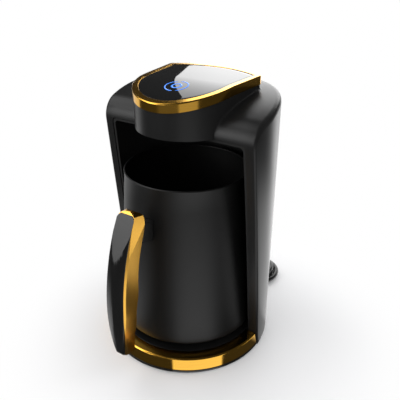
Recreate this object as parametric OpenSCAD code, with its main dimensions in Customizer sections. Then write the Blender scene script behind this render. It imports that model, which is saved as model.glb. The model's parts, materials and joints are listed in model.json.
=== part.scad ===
// Electric turkish coffee maker: a drum-shaped body with an open front, a control
// head over the recess, a round hot plate in the base and a tapered pot that
// slides out to the front on its handle.
// Units are millimetres. The origin is on the table under the pot's own axis,
// the opening faces -Y and +Z is up.

/* [Body] */
// Outer radius of the drum
body_r = 65.8; // [63.5:0.1:69]
// Wall of the outer shell
body_wall = 2.4; // [1.8:0.1:2.8]
// How far the wall of the recess lies inside the drum's outer face
recess_set = 8.9; // [8.4:0.1:9.6]
// Wall of the recess liner
liner_wall = 1.8; // [1.2:0.1:2.2]
// Height of the recess ceiling above the table
ceiling_z = 170.4; // [166:0.2:174]
// Thickness of the recess ceiling
ceiling_t = 1.8; // [1.2:0.1:2.4]
// Radius of the roll where the front face turns into the top
roll_r = 17; // [13:0.5:19]
// Radius of the gently domed top, front to back
crown_r = 170; // [150:5:260]
// Place of the front face at table level, in Y
front_foot_y = 2.2; // [0:0.1:4]
// How far the front face leans back going down, in degrees
front_lean = 5.9; // [4:0.1:7]

/* [Head] */
// Radius of the head's round front
head_r = 36.9; // [34:0.1:38.5]
// How far the head reaches behind the pot axis
head_back = 47; // [42:0.5:50]
// How much each side of the head widens towards the back
head_flare = 2.8; // [1.5:0.1:3.5]
// Radius of the head's two rear corners
head_corner_r = 3; // [2:0.5:5]
// Height of the head's front top edge above the table
head_front_z = 196.6; // [194:0.2:200]
// Wall of the head housing
head_wall = 2.2; // [1.8:0.1:2.6]
// Height of the gilt trim's outer face
trim_h = 6.3; // [5:0.1:7.5]
// Width of the gilt ledge round the glass
trim_ledge = 4.3; // [3.6:0.1:5]
// Thickness of the glass touch panel
glass_t = 2; // [1.5:0.1:2.6]
// Diameter of the lit touch symbol
icon_d = 18; // [14:0.5:22]

/* [Base] */
// Height of the rubber feet below the floor pan
foot_h = 0.8; // [0.6:0.1:1.6]
// Height of the black strip under the gilt band
strip_top = 2.6; // [2.2:0.1:3.4]
// Height of the gilt band's top edge
band_top = 13; // [11.8:0.1:14]
// How far the gilt band's foot lies inside the drum's outer face
band_set = 0.8; // [0.4:0.1:1.6]
// How much the gilt band narrows towards its top
band_taper = 0.8; // [0.2:0.1:1.4]
// Width of the gilt band's flat top
band_ledge = 8.9; // [8:0.1:9.4]
// How far the hot plate's edge lies inside the pot's foot
plate_set = 11.2; // [8:0.2:16]
// Height of the hot plate's top face
plate_top = 16; // [15:0.1:17]

/* [Pot] */
// Room between the pot's foot and the wall of the recess
pot_clear = 2.7; // [1.6:0.1:5]
// How much the pot narrows from its foot to its rim
pot_taper = 8.1; // [5:0.1:11]
// Height of the pot from its foot to its rim
pot_h = 125.2; // [118:0.2:128]
// Wall of the pot
pot_wall = 1.2; // [0.8:0.1:1.8]
// Travel of the pot as it slides out to the front
pot_travel = 175; // [150:5:200]

/* [Handle] */
// How far the handle's crest stands out from the pot's foot
grip_out = 31.2; // [29:0.2:36]
// How far the handle's top lies below the pot's rim
grip_drop = 9.7; // [7:0.1:13]
// Width of the handle
grip_w = 16; // [13:0.5:18]
// Radius of the handle's long curve, seen from the side
grip_curve_r = 163.7; // [150:0.5:180]
// Depth of the gilt frame behind the black grip
frame_t = 11.6; // [8:0.1:11]
// Depth of the black grip at its crest
grip_bulge = 3.2; // [2:0.1:6]

/* [Cord] */
// Diameter of the mains lead
cord_d = 5; // [4.6:0.1:5.4]

/* [Hidden] */

// Fits
gap = 0.3;           // between pieces that lie against each other
over = 1;            // how far a cutter runs past what it cuts
fine = 96;           // facets asked of round pieces

// Radii that follow from one another
recess_r = body_r - recess_set;
pot_foot_r = recess_r - pot_clear;
pot_rim_r = pot_foot_r - pot_taper;
plate_r = pot_foot_r - plate_set;
rim_r = body_r - band_set;
band_r = rim_r - band_taper;
band_in_r = band_r - band_ledge;

// Levels that several pieces share
pan_z = foot_h;                    // underside of the floor pan
pan_floor = 2.4;                   // thickness of the pan's floor
deck_t = 2;                        // thickness of the deck
deck_top = band_top - 0.4;         // the deck lies just below the band
deck_z = deck_top - deck_t;
pot_foot_z = plate_top + gap;      // the pot's diffuser stands on the plate
pot_rim_z = pot_foot_z + pot_h;
ceiling_top = ceiling_z + ceiling_t;
head_z = ceiling_top + gap;        // underside of the head
liner_out_r = recess_r + liner_wall;

// ---------------------------------------------------------------- side profile
// The front face leans, rolls over at the shoulder and runs back as a crown.
function front_y(z) = front_foot_y - z * tan(front_lean);
roll_z = 171.5;                                  // where the roll starts
roll_cy = front_y(roll_z) + roll_r;              // centre of the roll, in Y
roll_end = 20;                                   // slope where the crown takes over
crown_cy = roll_cy + (crown_r - roll_r) * sin(roll_end);
crown_cz = roll_z - (crown_r - roll_r) * cos(roll_end);
roll_steps = 12;
crown_steps = 16;
crown_last = -7;                                 // slope at the back of the crown

// Points of the side outline in (Y, Z); inset moves it into the body
function side_points(inset, low) = concat(
    [[front_y(low) + inset / cos(front_lean), low]],
    [for (i = [0 : roll_steps]) let (a = 180 - i * (90 - roll_end) / roll_steps)
        [roll_cy + (roll_r - inset) * cos(a), roll_z + (roll_r - inset) * sin(a)]],
    [for (i = [1 : crown_steps]) let (a = 90 + roll_end - i * (roll_end - crown_last) / crown_steps)
        [crown_cy + (crown_r - inset) * cos(a), crown_cz + (crown_r - inset) * sin(a)]],
    [[body_r + 10, crown_cz + (crown_r - inset) * cos(crown_last)], [body_r + 10, low]]);

// Turns a (Y, Z) outline into a prism that is w wide, centred on X = 0
module across(w) {
    rotate([90, 0, 90]) translate([0, 0, -w / 2]) linear_extrude(w) children();
}

// Everything behind the front face, up to the top surface
module side_prism(inset, low) {
    across(4 * body_r) polygon(side_points(inset, low));
}

// Everything in front of the leaning front face
module front_space(clear, low, high) {
    across(4 * body_r) polygon([[front_y(low) - clear, low], [front_y(high) - clear, high],
        [-2 * body_r, high], [-2 * body_r, low]]);
}

module tube(outer, inner, z0, z1) {
    difference() {
        translate([0, 0, z0]) cylinder(r = outer, h = z1 - z0, $fn = fine);
        translate([0, 0, z0 - over]) cylinder(r = inner, h = z1 - z0 + 2 * over, $fn = fine);
    }
}

module disc(r, z0, z1) {
    translate([0, 0, z0]) cylinder(r = r, h = z1 - z0, $fn = fine);
}

// ------------------------------------------------------------------ head plan
// Round in front, slightly flared sides, round rear corners and a bowed back.
back_bow = 10.5;                   // how far the back edge bows out
corner_steps = 6;
back_steps = 10;
corner_x = head_r + head_flare - head_corner_r;
corner_end = 90 - atan(2 * back_bow / corner_x);
corner_y = head_back - back_bow - head_corner_r * sin(corner_end);
corner_least = 0.8;                // an inset outline keeps at least this corner radius

function half_plan(inset) = let (
    r = max(head_corner_r - inset, corner_least), k = head_corner_r - inset - r,
    cx = corner_x + k, cy = corner_y + k * (1 - cos(corner_end)) / sin(corner_end),
    bx = cx + r * cos(corner_end), by = cy + r * sin(corner_end), mid = head_back - inset)
    concat([[head_r - inset, 0]],
        [for (i = [0 : corner_steps]) let (a = i * corner_end / corner_steps) [cx + r * cos(a), cy + r * sin(a)]],
        [for (i = [1 : back_steps]) let (t = i / back_steps)
            [bx * (1 - t), by + (mid - by) * (1 - (1 - t) * (1 - t))]]);
function flip_x(points) = [for (i = [len(points) - 1 : -1 : 0]) [-points[i][0], points[i][1]]];

module head_plan(inset) {
    circle(r = head_r - inset, $fn = fine);
    polygon(concat(half_plan(inset), flip_x(half_plan(inset))));
}

// Top surface of the head in (Y, Z): an arc that eases into a straight rear part
head_nose_a = 19;
head_tail_a = 2.5;
head_arc_r = 152.5;
head_arc_cy = -head_r + head_arc_r * sin(head_nose_a);
head_arc_cz = head_front_z - head_arc_r * cos(head_nose_a);
head_steps = 12;
head_far_y = 60;
trim_set = 0.6;                    // the trim stands proud of the housing by this much

function head_top_points(drop) = concat(
    [for (i = [0 : head_steps]) let (a = head_nose_a + 2 - i * (head_nose_a + 2 - head_tail_a) / head_steps)
        [head_arc_cy - head_arc_r * sin(a), head_arc_cz + head_arc_r * cos(a) - drop]],
    [let (y = head_arc_cy - head_arc_r * sin(head_tail_a))
        [head_far_y, head_arc_cz + head_arc_r * cos(head_tail_a)
            + (head_far_y - y) * tan(head_tail_a) - drop]]);

// Everything between height low and the head's top surface lowered by drop
module under_head_top(drop, low) {
    across(3 * head_r) polygon(concat(head_top_points(drop),
        [[head_far_y, low], [-head_r - 8, low]]));
}

// A ring or plate that follows the head's plan and its sloping top
module head_slab(inset_out, inset_in, drop_top, drop_low) {
    difference() {
        intersection() {
            translate([0, 0, head_z - over])
                linear_extrude(60) difference() {
                    head_plan(inset_out);
                    if (inset_in > 0) head_plan(inset_in);
                }
            under_head_top(drop_top, head_z - over);
        }
        under_head_top(drop_low, head_z - 2 * over);
    }
}

// ------------------------------------------------------------------------ base
pan_r = body_r - body_wall - 0.5;
boss_place = (pan_r - 12) * sqrt(0.5);     // the four bosses stand on a square
boss_r = 4.2;
boss_bore = 1.5;
screw_head_r = 3;
screw_head_h = 1.4;

module at_bosses() {
    for (x = [-boss_place, boss_place], y = [-boss_place, boss_place])
        translate([x, y, 0]) children();
}

module floor_pan() color("#17171a") difference() {
    union() {
        disc(pan_r, pan_z, pan_z + pan_floor);
        intersection() {
            disc(rim_r, pan_z, strip_top);
            front_space(gap, pan_z - over, strip_top + over);
        }
        at_bosses() disc(boss_r, pan_z + pan_floor - 0.4, deck_z - gap);
    }
    // the shell's two front strips stand in slots
    intersection() {
        tube(body_r + over, liner_out_r - gap, pan_z - over, pan_z + pan_floor + over);
        difference() {
            side_prism(-gap, pan_z - 2 * over);
            side_prism(body_wall + gap, pan_z - 3 * over);
        }
    }
    at_bosses() {
        translate([0, 0, pan_z - over]) cylinder(r = boss_bore + 0.25, h = 20, $fn = 32);
        translate([0, 0, pan_z - over]) cylinder(r = screw_head_r + gap, h = over + screw_head_h + gap, $fn = 32);
    }
    at_feet() translate([0, 0, pan_z - over]) cylinder(r = foot_r + gap, h = over + foot_sink, $fn = 48);
}

foot_r = 6;
foot_place = pan_r - foot_r - 6.9; // four feet on a circle and one in the middle
foot_sink = 0.8;                   // each foot sits in a shallow pocket

module at_feet() {
    children();
    for (a = [0 : 90 : 270]) rotate(a) translate([foot_place, 0, 0]) children();
}

module rubber_feet() color("#2b2b2e")
    at_feet() cylinder(r = foot_r, h = foot_h + foot_sink - gap, $fn = 48);

module base_screws() color("#9a9ca0") at_bosses() {
    disc(screw_head_r, pan_z + gap, pan_z + screw_head_h);
    disc(boss_bore, pan_z + screw_head_h - 0.2, deck_z - gap);
}

band_wall = 1.6;
band_bevel = 0.9;

module base_trim() color("#c8922e") intersection() {
    rotate_extrude($fn = fine) polygon([
        [rim_r - band_wall, strip_top + gap], [rim_r, strip_top + gap],
        [band_r, band_top - band_bevel], [band_r - band_bevel, band_top],
        [band_in_r, band_top], [band_in_r, band_top - 1.4],
        [band_r - band_wall - 0.6, band_top - 1.4], [rim_r - band_wall, band_top - 3.4]]);
    front_space(gap, 0, band_top + over);
}

seal_r = plate_r + gap;            // the seal hugs the plate's skirt
seal_w = 2.4;

module deck_plate() color("#141416") difference() {
    union() {
        disc(band_in_r - gap, deck_z, deck_top);
        difference() {
            disc(recess_r - gap, deck_z, deck_top);
            front_space(-gap, 0, band_top + over);
        }
    }
    disc(seal_r + seal_w + gap, deck_z - over, deck_top + over);
}

module plate_seal() color("#303034")
    tube(seal_r + seal_w, seal_r, deck_z, deck_top + 0.6);

plate_t = 2.2;
skirt_t = 1.4;

module hot_plate() color("#3c3d40") rotate_extrude($fn = fine) polygon([
    [0, plate_top - plate_t], [plate_r - skirt_t, plate_top - plate_t],
    [plate_r - skirt_t, deck_z - 3], [plate_r, deck_z - 3],
    [plate_r, plate_top - 1], [plate_r - 1, plate_top], [0, plate_top]]);

heater_r = plate_r - 16;           // radius of the ring that the element makes
heater_tube_r = 3.2;
heater_span = 300;
heater_z = plate_top - plate_t - gap - heater_tube_r;

module heating_element() color("#8f8a80") {
    rotate(-90 + (360 - heater_span) / 2) rotate_extrude(angle = heater_span, $fn = fine)
        translate([heater_r, heater_z]) circle(r = heater_tube_r, $fn = 32);
    for (s = [-1, 1]) rotate(-90 + s * (360 - heater_span) / 2) translate([heater_r, 0, heater_z])
        rotate([s * 90, 0, 0]) cylinder(r = 1.4, h = 7, $fn = 24);
}

tray_r = plate_r - skirt_t - 0.8;
tray_z = pan_z + pan_floor + gap;

module heater_tray() color("#b9bcc0") difference() {
    union() {
        tube(tray_r, tray_r - 1, tray_z, heater_z - 1);
        disc(tray_r, tray_z, tray_z + 0.8);
        for (a = [30 : 120 : 270]) rotate(a) translate([heater_r, 0, 0])
            disc(4, tray_z, heater_z - heater_tube_r - gap);
    }
    for (a = [90 : 120 : 330]) rotate(a) translate([heater_r - 11, 0, tray_z - over])
        cylinder(r = 3, h = 4, $fn = 32);
}

module thermostat() color("#d8d4c8") {
    disc(6.5, tray_z + 0.8 + gap, heater_z - 1);
    disc(4.5, heater_z - 1.2, plate_top - plate_t - gap);
}

module thermal_fuse() color("#e6e2d6") translate([0, 14, tray_z + 0.8 + gap + 2])
    rotate([0, 90, 0]) translate([0, 0, -7]) cylinder(r = 2, h = 14, $fn = 32);

// ------------------------------------------------------------------------ body
shell_low = pan_z;
mouth_r = 3.4;                     // rounding of the recess's upper corners
gland_a = 130;                     // the lead leaves at the back, left of centre
gland_z = 12;
gland_hole_r = 5.2;

module body_shell() color("#26262a") difference() {
    intersection() {
        disc(body_r, shell_low, 220);
        side_prism(0, shell_low);
    }
    // the hollow between shell and liner
    intersection() {
        disc(body_r - body_wall, shell_low - over, 220);
        side_prism(body_wall, shell_low - over);
    }
    // the recess, with its upper edge rounded as the liner's is
    rotate_extrude($fn = fine) polygon(concat([[0, shell_low - over]],
        [[liner_out_r + gap, shell_low - over]],
        [for (i = [0 : 6]) let (a = i * 15) [liner_out_r + gap - mouth_r + mouth_r * cos(a),
            ceiling_top + gap - mouth_r + mouth_r * sin(a)]], [[0, ceiling_top + gap]]));
    // where the head comes through
    translate([0, 0, ceiling_z]) linear_extrude(60) head_plan(trim_set - gap);
    // where the lead comes out
    rotate(gland_a) translate([body_r - 12, 0, gland_z]) rotate([0, 90, 0])
        cylinder(r = gland_hole_r + 0.2, h = 24, $fn = 48);
}

module recess_liner() color("#0e0e10") difference() {
    rotate_extrude($fn = fine) difference() {
        polygon(concat([[0, pan_z + pan_floor + gap], [liner_out_r, pan_z + pan_floor + gap]],
            [for (i = [0 : 6]) let (a = i * 15) [liner_out_r - mouth_r + mouth_r * cos(a),
                ceiling_top - mouth_r + mouth_r * sin(a)]], [[0, ceiling_top]]));
        polygon(concat([[-over, 0], [recess_r, 0]],
            [for (i = [0 : 6]) let (a = i * 15, r = mouth_r - 0.6) [recess_r - r + r * cos(a),
                ceiling_z - r + r * sin(a)]], [[-over, ceiling_z]]));
    }
    front_space(-0.6, 0, ceiling_top + over);
    at_head_screws() translate([0, 0, head_screw_end - 0.2]) cylinder(r = head_screw_r + 0.2, h = 4, $fn = 32);
}

board_z = head_z + 9;              // the power board stands on posts in the head
board_t = 1.6;
board_w = 52;
board_l = 42;
board_y = 16;                      // middle of the power board
board_post_r = 2.6;

module at_board_posts() {
    for (x = [-1, 1], y = [-1, 1])
        translate([x * (board_w / 2 - 4), board_y + y * (board_l / 2 - 4), 0]) children();
}

module block(x0, x1, y0, y1, z0, z1) {
    translate([x0, y0, z0]) cube([x1 - x0, y1 - y0, z1 - z0]);
}

module power_board() color("#2f6b3a") difference() {
    union() {
        block(-board_w / 2, board_w / 2, board_y - board_l / 2, board_y + board_l / 2, board_z, board_z + board_t);
        // transformer, film capacitor and two electrolytics
        block(-22, -6, board_y - 4, board_y + 12, board_z + board_t - 0.1, board_z + 10);
        block(-22, -8, board_y - 16, board_y - 9, board_z + board_t - 0.1, board_z + 9);
        for (y = [-14, -3]) translate([2, board_y + y, board_z + board_t - 0.1]) cylinder(r = 4, h = 9, $fn = 32);
    }
    at_board_posts() translate([0, 0, board_z - over]) cylinder(r = 1.3, h = board_t + 2 * over, $fn = 24);
}

module power_relay() color("#2b6cb0")
    block(9, 21, board_y - 8, board_y + 10, board_z + board_t + gap, board_z + 12);

loom_r = 1.7;
loom_ring = (liner_out_r + body_r - body_wall) / 2;     // middle of the space behind the liner
loom_a = gland_a - 12;
loom_top = ceiling_top + 4.5;

// Up the space behind the liner from the gland, then forward into the head
function on_ring(a, z) = [loom_ring * cos(a), loom_ring * sin(a), z];
loom_points = concat(
    [on_ring(gland_a - 8, gland_z - 2), on_ring(gland_a - 8.5, gland_z + 3), on_ring(gland_a - 10, gland_z + 9),
        on_ring(loom_a, gland_z + 18)],
    [for (i = [1 : 5]) on_ring(loom_a, gland_z + 18 + i * (loom_top - gland_z - 24) / 5)],
    [on_ring(loom_a, loom_top - 2.4) + [0.3, -0.7, 0], on_ring(loom_a, loom_top - 0.5) + [2.1, -1.5, 0],
        on_ring(loom_a, loom_top) + [6.7, -2.3, 0], on_ring(loom_a, loom_top) + [11.7, -3.3, 0],
        [-13.4, head_back + 1.7, loom_top], [-12, head_back - 2, loom_top], [-12, head_back - 6, loom_top],
        [-12, head_back - 11, loom_top]]);

module wire_loom() color("#b03030") sweep(loom_points, loom_r, 8, [-1, -1, 1]);

// ------------------------------------------------------------------------ head
skirt_w = 1.1;                     // thickness of the trim's outer skirt
lens_y = -24;                      // the foam sensor looks down into the pot
lens_r = 4;
loom_hole_r = loom_r + 0.8;

module head_housing() color("#2a2a2e") difference() {
    union() {
        head_slab(trim_set, trim_set + head_wall, trim_h + gap, 60);
        head_slab(skirt_w + gap, trim_set + head_wall, ledge_t + gap, 60);
        intersection() {
            translate([0, 0, head_z]) linear_extrude(head_wall) head_plan(trim_set);
            under_head_top(0, 0);
        }
        at_board_posts() translate([0, 0, head_z + head_wall - 0.2])
            cylinder(r = board_post_r, h = board_z - gap - head_z - head_wall + 0.2, $fn = 32);
    }
    translate([0, 0, head_z - 10]) block(-80, 80, -80, 80, 0, 10);
    translate([0, lens_y, head_z - over]) cylinder(r = lens_r + gap, h = 8, $fn = 48);
    at_head_screws() translate([0, 0, head_z - over]) cylinder(r = head_screw_r + 0.2, h = 8, $fn = 32);
    translate([-12, head_back - 8, loom_top]) rotate([-90, 0, 0]) cylinder(r = loom_hole_r, h = 20, $fn = 32);
}

head_screw_r = 1.4;
head_screw_end = ceiling_z + 0.8;  // the screws stop inside the recess's ceiling
module at_head_screws() {
    for (x = [-1, 1], y = [4, head_back - 15.5]) translate([x * (head_r - 5.9), y, 0]) children();
}

module head_screws() color("#9a9ca0") at_head_screws() {
    disc(head_screw_r, head_screw_end, head_z + head_wall + 0.4);
    disc(2.8, head_z + head_wall + gap, head_z + head_wall + 1.8);
}

ledge_t = 1.5;                     // thickness of the trim's flat ledge
lip_w = 2.4;                       // the glass rests on a lip of this width

module head_trim() color("#c8922e") {
    head_slab(0, trim_ledge, 0, ledge_t);
    head_slab(0, skirt_w, 0, trim_h);
    head_slab(trim_ledge - 1.2, trim_ledge, 0.4, glass_t + 1.6);
    head_slab(trim_ledge - 1.2, trim_ledge + lip_w, glass_t + 0.5, glass_t + 1.6);
}

module touch_panel() color("#08080a")
    head_slab(trim_ledge + 0.2, 0, 0.2, 0.2 + glass_t);

// What lies under the touch symbol is square to the glass there
icon_y = -11.5;
icon_a = asin((head_arc_cy - icon_y) / head_arc_r);
icon_z = head_arc_cz + head_arc_r * cos(icon_a) - 0.2 - glass_t / cos(icon_a);
board_drop = 8;                    // from the glass to the control board

module under_glass() {
    translate([0, icon_y, icon_z]) rotate([icon_a, 0, 0]) children();
}

module light_guide() color("#4aa8ff") under_glass()
    tube(icon_d / 2, icon_d / 2 - 2.4, -5.5, -0.5);

module control_board() color("#2f6b3a") under_glass() {
    disc(20, -board_drop - board_t, -board_drop);
    for (a = [0 : 60 : 300]) rotate(a) block(icon_d / 2 - 2.6, icon_d / 2 - 0.4, -1, 1, -board_drop - 0.1, -board_drop + 1.2);
}

module buzzer() color("#1a1a1a") under_glass() translate([0, -9, 0])
    disc(5, -board_drop - board_t - gap - 4, -board_drop - board_t - gap);

module sensor_lens() color("#3a0f12") translate([0, lens_y, 0]) {
    disc(lens_r, head_z + 0.3, head_z + head_wall + 1);
    disc(lens_r + 1, head_z + head_wall + gap, head_z + head_wall + 1.2);
}

module sensor_board() color("#2f6b3a")
    block(-7, 7, lens_y - 5.5, lens_y + 5.5, head_z + head_wall + 1.5, head_z + head_wall + 2.7);

// ------------------------------------------------------------------------- pot
pot_round_r = 3.6;
pot_slope = atan((pot_foot_r - pot_rim_r) / (pot_h - pot_round_r));
diffuser_r = pot_foot_r - 12.2;
diffuser_t = 2.2;
bead_r = 0.8;

function pot_r(z) = pot_foot_r - (z - pot_foot_z - pot_round_r) * tan(pot_slope);

module pot_body() color("#3a3a3d") rotate_extrude($fn = fine) {
    difference() {
        polygon(concat([[0, pot_foot_z + 0.6], [pot_foot_r - pot_round_r, pot_foot_z + 0.6]],
            [for (i = [0 : 6]) let (a = -90 + i * 15)
                [pot_foot_r - pot_round_r + pot_round_r * cos(a),
                    pot_foot_z + 0.6 + pot_round_r + pot_round_r * sin(a)]],
            [[pot_rim_r, pot_rim_z - bead_r], [0, pot_rim_z - bead_r]]));
        polygon([[-over, pot_foot_z + diffuser_t + gap + pot_wall + 0.4],
            [pot_foot_r - pot_round_r - pot_wall, pot_foot_z + diffuser_t + gap + pot_wall + 0.4],
            [pot_foot_r - pot_wall - 0.3, pot_foot_z + diffuser_t + gap + pot_wall + 3],
            [pot_rim_r - pot_wall, pot_rim_z + over], [-over, pot_rim_z + over]]);
        translate([-over, 0]) square([diffuser_r + gap + over, pot_foot_z + diffuser_t + gap]);
    }
    translate([pot_rim_r - pot_wall / 2 + 0.2, pot_rim_z - bead_r]) circle(r = bead_r, $fn = 24);
}

module pot_diffuser() color("#9d9fa3") disc(diffuser_r, pot_foot_z, pot_foot_z + diffuser_t);

// ---------------------------------------------------------------------- handle
// Drawn about its own point: the height where the arched top begins and the plane
// of its foremost crest. Y runs back to the pot from there and Z is negative.
grip_cz = -71.7;                   // height of the axis that the handle curves about
grip_top_a = 28;                   // the sweep runs past both ends, which are then cut
grip_low_a = -14;
frame_inset = 0.7;                 // the frame stands this much wider than the grip
arch_rise = 4.4;
taper_z = -61.4;                   // the sides run straight down to here
taper_len = 42;
tip_w = 5;
tip_rise = 6;
screw_zs = [-16.9, -9.9];          // the two screws that hold the frame to its bracket
screw_seat = 16.9;                 // where their heads sit
screw_end = 30.9;
handle_screw_r = 1.6;
crest_y = -pot_foot_r - grip_out;
arch_z = pot_rim_z - grip_drop - arch_rise;

module in_handle() {
    translate([0, crest_y, arch_z]) children();
}

// Sweeps a section given in (distance from the axis, X) along the handle's arc
module along_grip(low_a, top_a) {
    translate([0, grip_curve_r, grip_cz]) rotate([0, 90, 0]) rotate([0, 0, -90 - top_a])
        rotate_extrude(angle = top_a - low_a, $fn = 240) children();
}

// Front view of the handle: an arched top, straight sides and a long taper to the tip
function arch_r(w) = (w * w / 4 + arch_rise * arch_rise) / (2 * arch_rise);
function front_outline(w) = concat(
    [for (i = [0 : 10]) let (r = arch_r(w), s = asin(w / 2 / r), a = s - i * 2 * s / 10)
        [r * sin(a), arch_rise - r + r * cos(a)]],
    [for (i = [0 : 8]) let (t = i / 8) [-(w / 2 - (w - tip_w) / 2 * t * t), taper_z - taper_len * t]],
    [for (i = [1 : 5]) let (a = 180 + i * 30)
        [tip_w / 2 * cos(a), taper_z - taper_len + tip_rise * sin(a)]],
    [for (i = [8 : -1 : 0]) let (t = i / 8) [w / 2 - (w - tip_w) / 2 * t * t, taper_z - taper_len * t]]);

module front_prism(w) {
    translate([0, 55.4, 0]) rotate([90, 0, 0]) linear_extrude(80) polygon(front_outline(w));
}

// Side view: the slanting cut that makes the flat shield, and the rounded foot
module side_cut() {
    across(40) polygon(concat(
        [[27.4, 12.6], [20.4, 5.4], [17.4, 2.6], [3.3, -25], [-9.9, -51], [-12, -75.4]],
        [for (i = [0 : 7]) let (a = 175 + i * 10) [19.4 + 26 * cos(a), -83.4 + 28 * sin(a)]],
        [[25.4, -115.4], [45.4, -115.4], [45.4, 12.6]]));
}

// The frame's inner side in (Y, Z), from the rounded top down past two finger hollows
frame_inner = [for (p = [[8.2, 5.4], [9.9, 4.6], [11.8, 3.2], [13.2, 0.8], [13.9, -2.4], [13.8, -6.2], [12.5, -11.2],
    [10.1, -17.6], [7.6, -24.8], [5.6, -32.8], [4.3, -41], [3.8, -47.4], [3.6, -53], [2.9, -58.6], [1.5, -63.6],
    [0.5, -68.6], [0.3, -73.4], [0.5, -78.2], [0.1, -83.4], [-0.3, -89], [0.2, -95], [1.1, -101], [2.4, -108]])
    [p[0] + frame_t + 0.4, p[1]]];

// The grip's section rises to a soft ridge
module grip_section() {
    w = grip_w / 2;
    polygon(concat([[grip_curve_r + gap, -w]], [for (i = [-6 : 6])
        [grip_curve_r + gap + 0.3 + (grip_bulge - 0.3) * (1 - pow(abs(i) / 6, 1.35)), i * w / 6]],
        [[grip_curve_r + gap, w]]));
}

module handle_grip() color("#101012") in_handle() intersection() {
    along_grip(grip_low_a, grip_top_a) grip_section();
    front_prism(grip_w - 2 * frame_inset);
    side_cut();
}

frame_ease = 1.4;
frame_deep = frame_t + 8;          // the sweep runs this deep and is then cut to the inner line

// The frame's section, eased on its outer side
module frame_section() {
    inner = grip_curve_r - frame_deep;
    w = grip_w / 2;
    polygon([[inner, -w], [grip_curve_r - frame_ease, -w], [grip_curve_r, -w + frame_ease],
        [grip_curve_r, w - frame_ease], [grip_curve_r - frame_ease, w], [inner, w]]);
}

// A round way along Y, from y towards the crest
module way(y, r, h) {
    for (z = screw_zs) translate([0, y, z]) rotate([90, 0, 0]) cylinder(r = r, h = h, $fn = 32);
}

module handle_frame() color("#c8922e") in_handle() difference() {
    intersection() {
        along_grip(grip_low_a, grip_top_a) frame_section();
        front_prism(grip_w + 0.1);
        side_cut();
        across(40) polygon(concat([[-30, -120], [-30, 30], [frame_inner[0][0] - 1, 30]], frame_inner,
            [[frame_inner[len(frame_inner) - 1][0], -120]]));
    }
    way(60, handle_screw_r + 0.2, 80);
    way(screw_seat, 3.3, 40);
}

bracket_w = 10;

// The neck's near end follows the frame's inner line
module handle_bracket() color("#1c1c1f") difference() {
    in_handle() across(bracket_w) polygon([[45.4, -27.4], [45.4, -10.4], [33.4, -8.9],
        frame_inner[5] + [gap, -0.6], frame_inner[6] + [gap, 0], frame_inner[7] + [gap, 0],
        frame_inner[8] + [1.2 + gap, 3.6], [31.4, -22.9]]);
    // ends on the pot's cone
    translate([0, 0, pot_foot_z]) cylinder(r1 = pot_r(pot_foot_z) + gap, r2 = pot_r(pot_rim_z) + gap,
        h = pot_h, $fn = fine);
    in_handle() way(screw_end + 0.5, handle_screw_r + 0.1, 40);
}

module handle_screws() color("#9a9ca0") in_handle() {
    way(screw_end, handle_screw_r, screw_end - screw_seat + 0.4);
    way(screw_seat - 0.2, 3, 2);
}

// ------------------------------------------------------------------------ cord
cord_r = cord_d / 2;
layer = cord_d + 0.15;             // from one strand to the next
hank_low = 0.8;                    // the ties' thickness lifts the hank off the table
hank_y = 91.2;                     // middle of the hank, just behind the drum
hank_x0 = -28.5;                   // middles of its two round ends
hank_x1 = 14.5;
inner_run = 16;                    // radius of the inner strands' middles
hank_in_r = inner_run - layer / 2;
hank_out_r = hank_in_r + 2 * layer;
lead_end_x = -35;
last_shift_x = 4;                  // where the lead's first run has crossed to the inner side

lead_points = [[-56.5, 67.3, 12], [-59, 70.3, 12], [-61.2, 72.9, 11.7], [-64.6, 78.2, 10.7], [-66.4, 84.1, 9.4],
    [-66.7, 90.4, 8.1], [-65.4, 96.5, 7.1], [-62.5, 102.1, 6.6], [-58.2, 106.7, 6.6], [-52.9, 110.2, 7.1],
    [-47, 112.1, 7.8], [-41, 112.35, 8.5], [lead_end_x, 112.35, 8.5]];
tail_points = [[-19.8, 114.3, 3.3], [-16, 116.7, 3], [-12.9, 119.9, 2.8], [-10.5, 123.7, 2.7], [-9, 127.9, 2.7],
    [-8.5, 132.4, 2.7], [-9, 136.8, 2.7], [-10.5, 141, 2.7], [-12.9, 144.8, 3], [-16, 148, 3.6],
    [-19.8, 150.4, 4.4], [-24, 151.8, 5.3], [-28.5, 152.3, 6.2], [-32, 152.4, 6.8], [-36, 152.4, 7], [-40, 152.4, 7]];

function unit(v) = v / norm(v);
function ring_points(p, t, r, n, up) = let (a = unit(cross(t, up)), b = cross(a, t))
    [for (k = [0 : n - 1]) p + r * (cos(360 * k / n) * a + sin(360 * k / n) * b)];

// A tube of n sides along a list of points that never runs along up
module sweep(points, r, n, up = [0, 0, 1]) {
    last = len(points) - 1;
    rings = [for (i = [0 : last]) let (t = unit(points[min(i + 1, last)] - points[max(i - 1, 0)]))
        ring_points(points[i], t, r, n, up)];
    faces = concat(
        [[for (k = [0 : n - 1]) k]],
        [for (i = [0 : last - 1], k = [0 : n - 1]) let (j = (k + 1) % n)
            [i * n + j, i * n + k, (i + 1) * n + k]],
        [for (i = [0 : last - 1], k = [0 : n - 1]) let (j = (k + 1) % n)
            [i * n + j, (i + 1) * n + k, (i + 1) * n + j]],
        [[for (k = [n - 1 : -1 : 0]) last * n + k]]);
    polyhedron(points = [for (ring = rings) each ring], faces = faces);
}

module cord_gland() color("#151517") rotate(gland_a) translate([0, 0, gland_z]) rotate([0, 90, 0])
    rotate_extrude($fn = 48) polygon([[0, liner_out_r + 1], [7, liner_out_r + 1], [7, body_r - body_wall - 0.8],
        [gland_hole_r - 0.1, body_r - body_wall - 0.8], [gland_hole_r - 0.1, body_r + 0.3],
        [6.4, body_r + 0.3], [6.4, body_r + 2], [4.9, body_r + 3], [3.6, body_r + gland_len],
        [0, body_r + gland_len]]);
gland_len = 22;

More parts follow.
